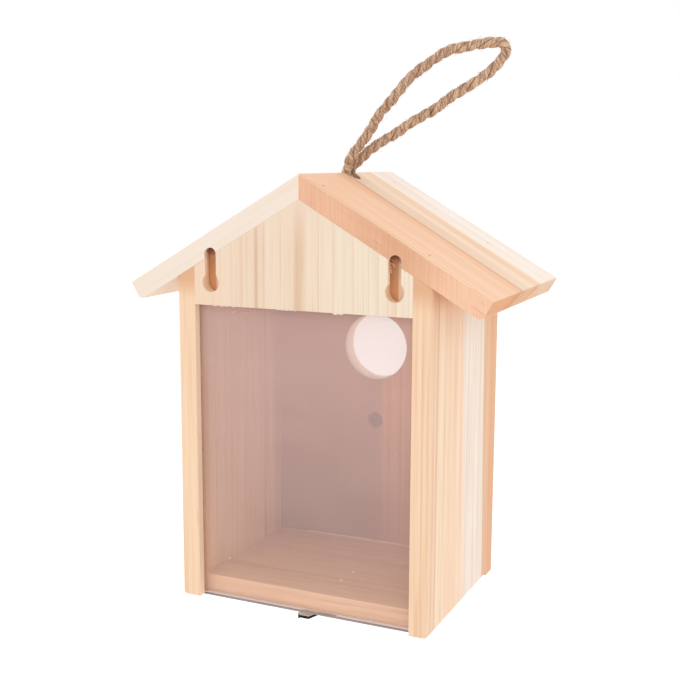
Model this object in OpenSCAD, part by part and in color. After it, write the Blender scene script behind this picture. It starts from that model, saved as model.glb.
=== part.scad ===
// Window birdhouse: a nest box of fir boards whose near side is a clear sliding panel.
// The window side faces -Y, +X is to the right and +Z is up. The origin lies on the
// window face, midway between the entry circles of the two keyholes.

/* [Body] */
// Width across the outsides of the side boards
body_w = 150; // [136:1:200]
// Depth from the window face to the outside of the entrance wall
body_d = 112; // [95:1:160]
// Height of the side boards at their outer faces
side_h = 184; // [160:1:260]
// Thickness of the side boards
side_t = 11; // [9:0.5:15]
// Thickness of the entrance wall
wall_t = 12; // [10:0.5:20]
// Thickness of the floor board
floor_t = 11; // [10:0.5:18]
// Thickness of the gable board
gable_t = 12; // [11:0.5:18]
// Drop from the eave line to the lower edge of the gable board
gable_drop = 15; // [14:0.5:40]

/* [Roof] */
// Slope of the roof in degrees
roof_pitch = 30; // [22:1:42]
// Thickness of the roof boards
roof_t = 11.5; // [9:0.5:16]
// Reach of the eaves past the side boards, along the slope
eave_reach = 35.5; // [15:0.5:60]
// Reach of the roof past the entrance wall
roof_reach = 16.5; // [5:0.5:40]

/* [Entrance] */
// Diameter of the entrance hole
entrance_d = 40; // [26:1:45]
// Height of the entrance hole's centre above the base
entrance_h = 135; // [115:1:140]
// Shift of the entrance hole and the perch to the right of the middle
entrance_shift = 2; // [-15:1:15]
// Diameter of the perch
perch_d = 10; // [6:0.5:12]
// Drop from the entrance hole's centre to the perch
perch_drop = 46; // [32:1:60]
// Reach of the perch past the entrance wall
perch_reach = 40; // [25:1:80]
// Depth of the perch's inner end below the wall's inner face
perch_recess = 2.5; // [0.5:0.5:4]

/* [Keyholes] */
// Distance from a side board's inner face to a keyhole's middle line
keyhole_inset = 10; // [8:0.5:16]
// Drop from the eave line to the centres of the entry circles
keyhole_drop = 2.5; // [0:0.5:4]
// Diameter of the entry circles and of the channel behind the lip
keyhole_entry_d = 10.5; // [9:0.5:12]
// Width of the neck slots in the lip
keyhole_neck_w = 7; // [5:0.5:8]
// Rise from an entry circle's centre to the centre of its neck's round top
keyhole_rise = 15.5; // [10:0.5:20]
// Thickness of the lip that the neck slots are cut in
keyhole_lip = 2.5; // [1.5:0.5:4]
// Depth of the keyholes from the window face
keyhole_depth = 8; // [6:0.5:10]

/* [Clear panel] */
// Thickness of the clear panel
panel_t = 3; // [2:0.5:3.5]
// Distance from the window face to the clear panel
panel_recess = 4.8; // [3.5:0.1:5.5]
// Depth of the grooves that the panel slides in
groove_depth = 4; // [3:0.5:6]
// Clearance between the panel and each wall of its grooves
panel_fit = 0.25; // [0.2:0.05:0.5]
// Drop of the panel's lower edge below the base
panel_drop = 0.5; // [0:0.5:2]

/* [Turn button] */
// Width of the steel strip
button_w = 9; // [7:0.5:12]
// Thickness of the steel strip
button_t = 1.6; // [0.8:0.1:2]
// Length from the screw to the tip of the strip
button_l = 20; // [16:0.5:30]
// Drop of the strip's free half below its screwed half
button_crank = 4.6; // [2:0.2:5]
// Length of the thumb tab bent down at the tip
button_tab = 1; // [1:0.2:6]
// Distance of the screw to the right of the middle
button_shift = 12.5; // [0:0.5:30]
// Gap between the panel's inner face and the strip
button_gap = 2.2; // [0.5:0.1:4]
// Gap above and below the screwed half of the strip
button_play = 0.1; // [0.05:0.05:0.3]

/* [Screw and brads] */
// Diameter of the turn button's screw
screw_d = 3; // [2.5:0.5:4]
// Radial clearance of the strip on its screw
screw_fit = 0.05; // [0.02:0.01:0.1]
// Diameter of the screw's head
screw_head_d = 6.4; // [5.5:0.2:8]
// Height of the screw's head
screw_head_h = 2; // [1.2:0.2:3]
// Depth of the screw in the floor
screw_depth = 8; // [6:0.5:9]
// Diameter of the brads
brad_d = 1.1; // [1:0.1:1.6]
// Length of the brads
brad_l = 25; // [20:1:30]
// Depth of the brads' heads below the surface
brad_sink = 0.4; // [0.2:0.1:0.8]
// Distance of the near row of roof brads from the window face
brad_edge = 8; // [6:0.5:9]
// Distance of the inner roof brads from the ridge
brad_inner = 10.5; // [8:0.5:20]

/* [Rope] */
// Diameter of the rope
rope_d = 5.8; // [5:0.2:8]
// Gap between the rope's two legs in the hole
rope_leg_gap = 0.3; // [0.2:0.1:1]
// Clearance of the rope's legs in the hole
rope_fit = 0.4; // [0.2:0.1:1]
// Diameter of the knot
knot_d = 21; // [18:1:26]
// Height of the knot
knot_h = 13; // [10:1:16]

/* [Hidden] */
$fn = 64;
// Overshoot of a cut past the surface that it opens
cut = 1;

// Heights, measured from the origin between the keyholes
eave_z = keyhole_drop;
base_z = eave_z - side_h;
gable_z = eave_z - gable_drop;
rise = tan(roof_pitch);
apex_z = eave_z + rise * body_w / 2;
ridge_z = apex_z + roof_t / cos(roof_pitch);
entrance_z = base_z + entrance_h;
perch_z = entrance_z - perch_drop;

// Places across the width and through the depth
inner_x = body_w / 2 - side_t;
side_mid_x = body_w / 2 - side_t / 2;
keyhole_x = inner_x - keyhole_inset;
wall_y = body_d - wall_t;
roof_d = body_d + roof_reach;
roof_mid_y = roof_d / 2;
groove_y = panel_recess - panel_fit;
groove_w = panel_t + 2 * panel_fit;
floor_y = groove_y + groove_w;
slope_l = body_w / 2 / cos(roof_pitch) + eave_reach;

// Turn button, measured from its screw
button_x = button_shift;
button_y = panel_recess + panel_t + button_gap + button_w / 2;
button_top = base_z - button_play;
button_corner = 3.2;
crank_start = screw_head_d / 2 + 1;
crank_run = 8;

// Brads, the near row in the gable board and side boards, the far row in the entrance wall
brad_head_d = 1.4 * brad_d;
brad_head_h = 0.7;
brad_rows_y = [brad_edge, wall_y + wall_t / 2];
brad_cols_x = [-side_mid_x, -brad_inner, brad_inner, side_mid_x];
wall_brad_heights = [30, 92, 154];
floor_brad_x = 34;

// Rope: its legs stand side by side in one hole, front to back
leg_y = (rope_d + rope_leg_gap) / 2;
rope_hole_d = 2 * (rope_d + rope_fit) + rope_leg_gap;
knot_z = apex_z - rise * knot_d / 2;
rope_sides = 12;
// Route from knot to knot: distance to the right, share of leg_y towards the entrance
// side, and height above the ridge
rope_route = [
    [-1, -1, -4], [1, -1, 5], [6.4, -1, 13.5], [14, -1, 23.8], [20, -1, 32.3], [28, -0.9, 41.7],
    [36.2, -0.8, 50], [45.2, -0.7, 57.6], [54.3, -0.5, 63], [64.3, -0.4, 66], [74.2, -0.2, 68],
    [82.6, 0, 68.3], [88, 0.1, 67.2], [89.6, 0.2, 64.3], [87.8, 0.3, 59.8], [82, 0.4, 54],
    [74, 0.5, 49.5], [64.5, 0.6, 43.5], [55, 0.7, 38], [45, 0.8, 32], [35, 0.9, 26.5],
    [23.6, 1, 20.2], [14.2, 1, 14.2], [5.8, 1, 8.2], [0, 1, 2], [-1.2, 1, -4]
];

// Shapes that several pieces share
// A profile drawn in X and Z, pulled from y0 to y1
module along_y(y0, y1) {
    translate([0, y1, 0]) rotate([90, 0, 0]) linear_extrude(y1 - y0) children();
}

// A cylinder along Y from y0 to y1
module rod_y(x, z, y0, y1, d) {
    translate([x, y0, z]) rotate([-90, 0, 0]) cylinder(d = d, h = y1 - y0);
}

// The space under the roof, as a profile half as wide as asked
module under_roof(half_w, z0) {
    polygon([
        [-half_w, z0], [half_w, z0], [half_w, apex_z - rise * half_w],
        [0, apex_z], [-half_w, apex_z - rise * half_w]
    ]);
}

// One keyhole: an entry circle, a neck slot in the lip and a wide channel behind it
module keyhole_cut(x) {
    rod_y(x, 0, -cut, keyhole_depth, keyhole_entry_d);
    rod_y(x, keyhole_rise, -cut, keyhole_depth - cut, keyhole_neck_w);
    translate([x - keyhole_neck_w / 2, -cut, 0])
        cube([keyhole_neck_w, keyhole_depth, keyhole_rise]);
    rod_y(x, keyhole_rise, keyhole_lip, keyhole_depth, keyhole_entry_d);
    translate([x - keyhole_entry_d / 2, keyhole_lip, 0])
        cube([keyhole_entry_d, keyhole_depth - keyhole_lip, keyhole_rise]);
}

module keyholes() {
    keyhole_cut(-keyhole_x);
    keyhole_cut(keyhole_x);
}

// A brad along +Z with its head's top at the origin, or the hole that it sits in
module brad() {
    translate([0, 0, -brad_l]) cylinder(d = brad_d, h = brad_l, $fn = 24);
    translate([0, 0, -brad_head_h]) cylinder(d = brad_head_d, h = brad_head_h, $fn = 24);
}

module brad_hole() {
    brad();
    cylinder(d = brad_head_d, h = brad_head_d * rise + brad_sink + cut, $fn = 24);
}

// Heads of the roof brads, sunk straight down below the lower side of the slope
function roof_brad_z(x) = ridge_z - rise * (abs(x) + brad_head_d / 2) - brad_sink;

module at_roof_brads() {
    for (x = brad_cols_x, y = brad_rows_y) translate([x, y, roof_brad_z(x)]) children();
}

module at_wall_brads() {
    for (x = [-side_mid_x, side_mid_x], h = wall_brad_heights)
        translate([x, body_d - brad_sink, base_z + h]) rotate([-90, 0, 0]) children();
    for (x = [-floor_brad_x, floor_brad_x])
        translate([x, body_d - brad_sink, base_z + floor_t / 2]) rotate([-90, 0, 0]) children();
}

// Boards
module right_side_solid() {
    difference() {
        intersection() {
            along_y(0, wall_y) under_roof(body_w / 2, base_z);
            translate([inner_x, 0, base_z]) cube([side_t, wall_y, ridge_z - base_z]);
        }
        translate([inner_x - cut, groove_y, base_z - cut])
            cube([groove_depth + cut, groove_w, ridge_z - base_z + cut]);
        at_roof_brads() brad();
        at_wall_brads() brad();
    }
}

module left_side_board() {
    color("#f3d3ad") mirror([1, 0, 0]) right_side_solid();
}

module right_side_board() {
    color("#f3cda6") right_side_solid();
}

module gable_board() {
    color("#f0dab8") difference() {
        along_y(0, gable_t) under_roof(inner_x, gable_z);
        translate([-inner_x - cut, groove_y, gable_z - cut])
            cube([2 * (inner_x + cut), groove_w, groove_depth + cut]);
        keyholes();
        at_roof_brads() brad();
    }
}

module entrance_wall() {
    color("#e6b48c") difference() {
        along_y(wall_y, body_d) under_roof(body_w / 2, base_z);
        rod_y(entrance_shift, entrance_z, wall_y - cut, body_d + cut, entrance_d);
        rod_y(entrance_shift, perch_z, wall_y - cut, body_d + cut, perch_d);
        at_roof_brads() brad();
        at_wall_brads() brad_hole();
    }
}

module floor_board() {
    color("#dfae85") difference() {
        translate([-inner_x, floor_y, base_z]) cube([2 * inner_x, wall_y - floor_y, floor_t]);
        translate([button_x, button_y, base_z - cut]) cylinder(d = screw_d, h = screw_depth + cut);
        at_wall_brads() brad();
    }
}

module right_roof_solid() {
    run = slope_l * cos(roof_pitch);
    drop = slope_l * sin(roof_pitch);
    hole_low = apex_z - rise * rope_hole_d / 2 - cut;
    difference() {
        along_y(0, roof_d) polygon([
            [0, apex_z], [0, ridge_z], [run, ridge_z - drop],
            [run - roof_t * sin(roof_pitch), ridge_z - drop - roof_t * cos(roof_pitch)]
        ]);
        translate([0, roof_mid_y, hole_low]) cylinder(d = rope_hole_d, h = ridge_z - hole_low + cut);
        keyholes();
        at_roof_brads() brad_hole();
    }
}

module left_roof_board() {
    color("#f4e4cc") mirror([1, 0, 0]) right_roof_solid();
}

module right_roof_board() {
    color("#eebb93") right_roof_solid();
}

module clear_panel() {
    half_w = inner_x + groove_depth - panel_fit;
    low_z = base_z - panel_drop;
    color([0.88, 0.86, 0.9, 0.3])
        translate([-half_w, panel_recess, low_z])
            cube([2 * half_w, panel_t, gable_z + groove_depth - panel_fit - low_z]);
}

// Turn button
// Side view of the strip, with the screw at x = 0 and the tip to the left
module button_profile() {
    free_z = -button_crank;
    boss = button_w / 2 + cut;
    polygon([
        [boss, 0], [-crank_start, 0], [-crank_start - crank_run, free_z],
        [-button_l, free_z], [-button_l, free_z - button_t - button_tab],
        [-button_l + button_t, free_z - button_t - button_tab], [-button_l + button_t, free_z - button_t],
        [-crank_start - crank_run, free_z - button_t], [-crank_start, -button_t], [boss, -button_t]
    ]);
}

// Plan of the strip: round about the screw, with two round corners at the tip
module button_plan() {
    circle(d = button_w);
    translate([-button_l + button_corner, -button_w / 2]) square([button_l - button_corner, button_w]);
    translate([-button_l, -button_w / 2 + button_corner]) square([button_l, button_w - 2 * button_corner]);
    for (side = [-1, 1])
        translate([-button_l + button_corner, side * (button_w / 2 - button_corner)])
            circle(r = button_corner);
}

module turn_button() {
    depth = button_crank + button_t + button_tab;
    color("#3a3735") translate([button_x, button_y, button_top]) difference() {
        intersection() {
            along_y(-button_w / 2, button_w / 2) button_profile();
            translate([0, 0, -depth]) linear_extrude(depth) button_plan();
        }
        translate([0, 0, -depth]) cylinder(d = screw_d + 2 * screw_fit, h = depth + cut);
    }
}

module turn_button_screw() {
    head_z = button_top - button_t - button_play - screw_head_h;
    slot_l = screw_head_d * 0.6;
    slot_w = screw_head_d * 0.14;
    slot_h = screw_head_h * 0.5;
    color("#55504c") translate([button_x, button_y, 0]) difference() {
        union() {
            translate([0, 0, head_z]) cylinder(d = screw_d, h = base_z + screw_depth - head_z);
            translate([0, 0, head_z]) cylinder(d = screw_head_d, h = screw_head_h);
        }
        translate([-slot_l / 2, -slot_w / 2, head_z - cut]) cube([slot_l, slot_w, slot_h + cut]);
        translate([-slot_w / 2, -slot_l / 2, head_z - cut]) cube([slot_w, slot_l, slot_h + cut]);
    }
}

// Perch: a dowel with a half-round outer end
module perch() {
    stub = wall_t - perch_recess + perch_reach - perch_d / 2;
    color("#e2b98e") translate([entrance_shift, wall_y + perch_recess, perch_z]) rotate([-90, 0, 0])
        rotate_extrude() {
            square([perch_d / 2, stub]);
            intersection() {
                translate([0, stub]) circle(d = perch_d);
                translate([0, stub]) square(perch_d);
            }
        }
}

// Rope
// Points of the route, with a straight end down to the knot on each leg
function leg_end(x, side) = [x, roof_mid_y + side * leg_y, knot_z];
function route_point(p) = [p[0], roof_mid_y + p[1] * leg_y, ridge_z + p[2]];
near_end = leg_end(rope_route[0][0], -1);
far_end = leg_end(rope_route[len(rope_route) - 1][0], 1);
rope_points = concat(
    [near_end, near_end + [0, 0, rope_d]],
    [for (p = rope_route) route_point(p)],
    [far_end + [0, 0, rope_d], far_end]
);
function unit(v) = v / norm(v);
// Direction of the rope at a point, straight up or down at both ends
function heading(i) =
    i == 0 ? [0, 0, 1] :
    i == len(rope_points) - 1 ? [0, 0, -1] :
    unit(rope_points[i + 1] - rope_points[i - 1]);
function ring(i) =
    let (across = unit(cross(heading(i), [0, 1, 0])), along = cross(heading(i), across))
    [for (k = [0:rope_sides - 1])
        let (a = 360 * k / rope_sides)
        rope_points[i] + rope_d / 2 * (cos(a) * across + sin(a) * along)];

module rope_loop() {
    rings = len(rope_points);
    last = (rings - 1) * rope_sides;
    points = [for (i = [0:rings - 1]) each ring(i)];
    walls = [for (i = [0:rings - 2], k = [0:rope_sides - 1])
        let (a = i * rope_sides + k, b = i * rope_sides + (k + 1) % rope_sides)
        each [[a, b, b + rope_sides], [a, b + rope_sides, a + rope_sides]]];
    ends = [
        [for (k = [0:rope_sides - 1]) rope_sides - 1 - k],
        [for (k = [0:rope_sides - 1]) last + k]
    ];
    color("#b08a5e") polyhedron(points = points, faces = concat(walls, ends));
}

module rope_knot() {
    edge_r = knot_h * 0.4;
    color("#a88257") translate([0, roof_mid_y, knot_z - knot_h]) rotate_extrude() {
        square([knot_d / 2 - edge_r, knot_h]);
        translate([0, edge_r]) square([knot_d / 2, knot_h - 2 * edge_r]);
        for (z = [edge_r, knot_h - edge_r]) translate([knot_d / 2 - edge_r, z]) circle(r = edge_r);
    }
}

module roof_brads() {
    color("#8d8a86") at_roof_brads() brad();
}

module wall_brads() {
    color("#8d8a86") at_wall_brads() brad();
}

left_side_board();
right_side_board();
gable_board();
entrance_wall();
floor_board();
left_roof_board();
right_roof_board();
clear_panel();
turn_button();
turn_button_screw();
perch();
rope_loop();
rope_knot();
roof_brads();
wall_brads();
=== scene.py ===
"""Window birdhouse: a nest box of fir boards with a clear sliding panel and a jute loop.

The packed model is the frame. Each operator makes one piece, or a group of like pieces,
in the frame's place and lets it ride on the frame's body.
"""
import math
import random

import bmesh
import bpy
from bpy.props import FloatProperty, FloatVectorProperty, IntProperty, PointerProperty
from bpy.types import Operator, Panel, PropertyGroup
from mathutils import Matrix, Vector


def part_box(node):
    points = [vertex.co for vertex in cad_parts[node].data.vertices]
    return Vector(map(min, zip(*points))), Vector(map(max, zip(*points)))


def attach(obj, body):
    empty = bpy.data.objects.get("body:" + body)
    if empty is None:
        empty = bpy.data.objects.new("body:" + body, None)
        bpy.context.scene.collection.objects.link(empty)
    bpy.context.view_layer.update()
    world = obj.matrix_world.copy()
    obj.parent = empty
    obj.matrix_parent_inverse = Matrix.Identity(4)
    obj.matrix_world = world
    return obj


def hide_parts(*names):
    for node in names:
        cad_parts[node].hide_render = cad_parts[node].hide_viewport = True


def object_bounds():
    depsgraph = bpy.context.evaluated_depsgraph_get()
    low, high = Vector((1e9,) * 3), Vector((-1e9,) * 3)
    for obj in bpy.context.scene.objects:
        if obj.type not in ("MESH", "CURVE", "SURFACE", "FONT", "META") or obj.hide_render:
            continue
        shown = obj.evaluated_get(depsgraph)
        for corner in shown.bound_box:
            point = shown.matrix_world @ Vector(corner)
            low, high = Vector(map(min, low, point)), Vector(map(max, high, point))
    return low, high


bl_info = {
    "name": "Window Birdhouse",
    "version": (1, 0, 0),
    "blender": (4, 5, 0),
    "location": "View3D > Sidebar > Birdhouse",
    "description": "Dresses a window birdhouse in fir, clear acrylic, jute and blackened steel",
    "category": "Object",
}

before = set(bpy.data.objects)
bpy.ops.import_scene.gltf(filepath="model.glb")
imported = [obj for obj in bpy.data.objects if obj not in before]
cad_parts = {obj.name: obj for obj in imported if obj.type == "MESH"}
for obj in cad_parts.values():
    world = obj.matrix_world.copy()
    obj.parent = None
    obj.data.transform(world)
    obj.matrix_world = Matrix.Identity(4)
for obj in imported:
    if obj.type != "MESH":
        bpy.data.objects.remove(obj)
CAD_BOX = [list(corner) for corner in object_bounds()]

MM = 0.001

# Places read from the frame
FLOOR_LOW, FLOOR_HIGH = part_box("floor_board")
WALL_LOW, WALL_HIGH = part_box("entrance_wall")
GABLE_LOW, GABLE_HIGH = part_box("gable_board")
SIDE_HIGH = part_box("right_side_board")[1]
ROOF_LOW, ROOF_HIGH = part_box("right_roof_board")
PANEL_LOW, PANEL_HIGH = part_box("clear_panel")
PERCH_LOW, PERCH_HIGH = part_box("perch")
SCREW_LOW, SCREW_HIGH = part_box("turn_button_screw")
KNOT_LOW, KNOT_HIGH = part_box("rope_knot")
PERCH_X, PERCH_Z = (PERCH_LOW.x + PERCH_HIGH.x) / 2, (PERCH_LOW.z + PERCH_HIGH.z) / 2
RIDGE_Z = ROOF_HIGH.z
APEX_Z = WALL_HIGH.z

# Sizes that the boxes don't give, as in the part's source
PITCH = math.radians(30)
KEYHOLE_X = GABLE_HIGH.x - 10 * MM
ENTRANCE_X, ENTRANCE_Z, ENTRANCE_RADIUS = PERCH_X, PERCH_Z + 46 * MM, 20 * MM
ROPE_LEG_Y = 3.05 * MM

# An edge this near to a plane lies on it, and one longer than this runs along a board
CLOSE = 0.1 * MM
LONG = 40 * MM

# Rope route, as in the part's source: millimetres to the right, share of the leg's
# distance from the hole's middle, and millimetres above the ridge
ROPE_ROUTE = [
    (-1, -1, -4), (1, -1, 5), (6.4, -1, 13.5), (14, -1, 23.8), (20, -1, 32.3), (28, -0.9, 41.7),
    (36.2, -0.8, 50), (45.2, -0.7, 57.6), (54.3, -0.5, 63), (64.3, -0.4, 66), (74.2, -0.2, 68),
    (82.6, 0, 68.3), (88, 0.1, 67.2), (89.6, 0.2, 64.3), (87.8, 0.3, 59.8), (82, 0.4, 54),
    (74, 0.5, 49.5), (64.5, 0.6, 43.5), (55, 0.7, 38), (45, 0.8, 32), (35, 0.9, 26.5),
    (23.6, 1, 20.2), (14.2, 1, 14.2), (5.8, 1, 8.2), (0, 1, 2), (-1.2, 1, -4),
]


def srgb(code):
    """Linear colour of a six-figure hex code."""
    parts = [int(code[i:i + 2], 16) / 255 for i in (1, 3, 5)]
    return tuple(c / 12.92 if c <= 0.04045 else ((c + 0.055) / 1.055) ** 2.4 for c in parts)


def rgba(colour):
    """Colour with full alpha, from a hex code or a linear colour."""
    return (*(srgb(colour) if isinstance(colour, str) else colour[:3]), 1)


# Settings
def colour_prop(name, description, code):
    return FloatVectorProperty(
        name=name, description=description, default=srgb(code), subtype="COLOR", min=0, max=1
    )


def length_prop(name, description, mm):
    return FloatProperty(
        name=name, description=description, default=mm * MM, min=0, subtype="DISTANCE",
        unit="LENGTH", precision=5,
    )


class BirdhouseBoards(PropertyGroup):
    """Finish of the fir boards"""

    ring: length_prop("Ring Spacing", "Distance between growth rings", 2.6)
    soft_edge: length_prop("Side Edge Radius", "Rounding of the side boards' long edges", 1.7)
    worn_edge: length_prop(
        "Worn Edge Radius", "Rounding of the lowest edges of eaves and sides", 2.6
    )
    crisp_edge: length_prop("Edge Radius", "Rounding of the other boards' edges", 0.6)
    rim: length_prop("Rim Radius", "Rounding of the rims of the holes", 0.5)
    sapwood: colour_prop("Sapwood", "Pale outer wood", "#f2e1cc")
    straw: colour_prop("Straw Wood", "Pale straw wood of the gable board", "#ecd4b8")
    peach: colour_prop("Peach Wood", "Warm wood of the side boards", "#eec9a6")
    heart: colour_prop("Heartwood", "Pink orange inner wood", "#e9b48e")
    line: colour_prop("Late Wood", "Dark side of each growth ring", "#c98c5c")
    cut: colour_prop("Cut Wood", "Wood on the walls of keyholes and grooves", "#f8dcc0")
    # Deep Wood is the painted shade at the keyholes' bottoms
    deep: colour_prop("Deep Wood", "Wood at the bottom of the keyholes", "#db9d68")


class BirdhouseRope(PropertyGroup):
    """Jute rope"""

    diameter: length_prop("Diameter", "Diameter over the strands", 5.8)
    lay: length_prop("Lay Length", "Length of one turn of a strand", 19.5)
    strands: IntProperty(name="Strands", description="Number of strands", default=3, min=2, max=4)
    hairs: IntProperty(name="Hairs", description="Number of loose fibres", default=700, min=0)
    jute: colour_prop("Jute", "Colour of the fibres", "#deb896")
    # Deep Jute is also the painted shade where the yarn lies low
    shade: colour_prop("Deep Jute", "Colour of the fibres in the hollows", "#8c6247")


class BirdhousePanel(PropertyGroup):
    """Clear panel"""

    veil: colour_prop("Veil", "Tint of the haze on the clear sheet", "#e2c0b9")
    haze: FloatProperty(
        name="Haze", description="How much the clear sheet hides", default=0.18, min=0, max=1,
        subtype="FACTOR",
    )
    film: colour_prop("Film", "Torn leftovers of the protective film", "#fbf0ee")


class BirdhouseMetal(PropertyGroup):
    """Turn button, screw and brads"""

    black: colour_prop("Blackened Steel", "Colour of the dark finish", "#2b2827")
    # Bare Steel is also painted on the turn button's upper side as a highlight
    bare: colour_prop("Bare Steel", "Colour of rubbed and cut steel", "#ccd6e4")


class BirdhouseStage(PropertyGroup):
    """Floor, lights and camera"""

    paper: colour_prop("Floor", "Colour of the studio floor", "#aeadab")
    glow: FloatProperty(name="Floor Glow", description="Light that the floor gives", default=0.7)
    drop: length_prop("Floor Drop", "How far below the house the floor lies", 180)
    dome: FloatProperty(name="Dome Light", description="Strength of the even light", default=1.0)
    key: FloatProperty(name="Key Light", description="Strength of the key light", default=1.8)
    lens: FloatProperty(
        name="Focal Length", description="Focal length of the camera", default=58.504,
        subtype="DISTANCE_CAMERA", unit="CAMERA",
    )


# Shaders
class Sock:
    """A socket in an expression: each operator adds a Math node."""

    def __init__(self, paint, socket):
        self.paint, self.socket = paint, socket

    def math(self, operation, *others):
        inputs = dict(enumerate([self, *others]))
        return self.paint.add("ShaderNodeMath", {"operation": operation}, inputs)

    def turned(self, operation, other):
        inputs = {0: other, 1: self}
        return self.paint.add("ShaderNodeMath", {"operation": operation}, inputs)

    def __add__(self, other):
        return self.math("ADD", other)

    def __sub__(self, other):
        return self.math("SUBTRACT", other)

    def __rsub__(self, other):
        return self.turned("SUBTRACT", other)

    def __mul__(self, other):
        return self.math("MULTIPLY", other)

    def __truediv__(self, other):
        return self.math("DIVIDE", other)

    __radd__ = __add__
    __rmul__ = __mul__

    def out(self, name):
        return Sock(self.paint, self.socket.node.outputs[name])


class Paint:
    """A material in the making, round one Principled shader."""

    def __init__(self, name, **fixed):
        self.material = bpy.data.materials.new(name)
        self.material.use_nodes = True
        self.tree = self.material.node_tree
        self.shader = self.tree.nodes["Principled BSDF"]
        for socket, value in fixed.items():
            self.feed(socket.replace("_", " "), value)

    def add(self, kind, settings, inputs, out=0):
        """A node of that kind, with its settings and the values or links of its sockets."""
        node = self.tree.nodes.new(kind)
        for key, value in settings.items():
            if key == "stops":
                self.set_stops(node.color_ramp, value)
            else:
                setattr(node, key, value)
        for key, value in inputs.items():
            self.join(node.inputs[key], value)
        return Sock(self, node.outputs[out])

    def set_stops(self, ramp, stops):
        while len(ramp.elements) < len(stops):
            ramp.elements.new(1)
        for element, (place, value) in zip(ramp.elements, stops):
            element.position = place
            element.color = rgba([value] * 3 if isinstance(value, (int, float)) else value)

    def join(self, socket, value):
        if isinstance(value, Sock):
            self.tree.links.new(value.socket, socket)
        else:
            socket.default_value = rgba(value) if socket.type == "RGBA" else value

    def feed(self, name, value):
        self.join(self.shader.inputs[name], value)

    def coords(self, out="Object"):
        return self.add("ShaderNodeTexCoord", {}, {}, out)

    def attribute(self, name, out="Fac"):
        return self.add("ShaderNodeAttribute", {"attribute_name": name}, {}, out)

    def mapping(self, vector, scale=(1, 1, 1), turn=(0, 0, 0), shift=(0, 0, 0)):
        inputs = {"Vector": vector, "Location": shift, "Rotation": turn, "Scale": scale}
        return self.add("ShaderNodeMapping", {}, inputs)

    def noise(self, vector, scale, detail=2, roughness=0.5, stretch=(1, 1, 1)):
        where = self.mapping(vector, stretch) if stretch != (1, 1, 1) else vector
        inputs = {"Vector": where, "Scale": scale, "Detail": detail, "Roughness": roughness}
        return self.add("ShaderNodeTexNoise", {}, inputs)

    def noise_along(self, number, scale, detail):
        inputs = {"W": number, "Scale": scale, "Detail": detail}
        return self.add("ShaderNodeTexNoise", {"noise_dimensions": "1D"}, inputs)

    def ramp(self, number, stops):
        return self.add("ShaderNodeValToRGB", {"stops": stops}, {"Fac": number})

    def step(self, number, low, high, smooth=True):
        kind = "SMOOTHSTEP" if smooth else "LINEAR"
        inputs = {"Value": number, "From Min": low, "From Max": high}
        return self.add("ShaderNodeMapRange", {"interpolation_type": kind}, inputs)

    def mix(self, factor, first, second, blend="MIX"):
        settings = {"data_type": "RGBA", "blend_type": blend}
        return self.add("ShaderNodeMix", settings, {0: factor, 6: first, 7: second}, 2)

    def parts(self, vector):
        node = self.add("ShaderNodeSeparateXYZ", {}, {"Vector": vector}, "X")
        return node, node.out("Y"), node.out("Z")

    def dot(self, vector, direction):
        return self.add(
            "ShaderNodeVectorMath", {"operation": "DOT_PRODUCT"}, {0: vector, 1: direction}, "Value"
        )

    def bump(self, height, strength, distance):
        inputs = {"Height": height, "Strength": strength, "Distance": distance}
        self.feed("Normal", self.add("ShaderNodeBump", {}, inputs))


# Turn that lays the grain of a piece along the third axis of its pattern, and the grain
GRAIN = {
    "up": ((0, 0, 0), (0, 0, 1)),
    "across": ((0, -math.pi / 2, 0), (1, 0, 0)),
    "deep": ((math.pi / 2, 0, 0), (0, 1, 0)),
    "left slope": ((0, math.pi / 2 + PITCH, 0), (-math.cos(PITCH), 0, -math.sin(PITCH))),
    "right slope": ((0, -math.pi / 2 - PITCH, 0), (math.cos(PITCH), 0, -math.sin(PITCH))),
}


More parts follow.
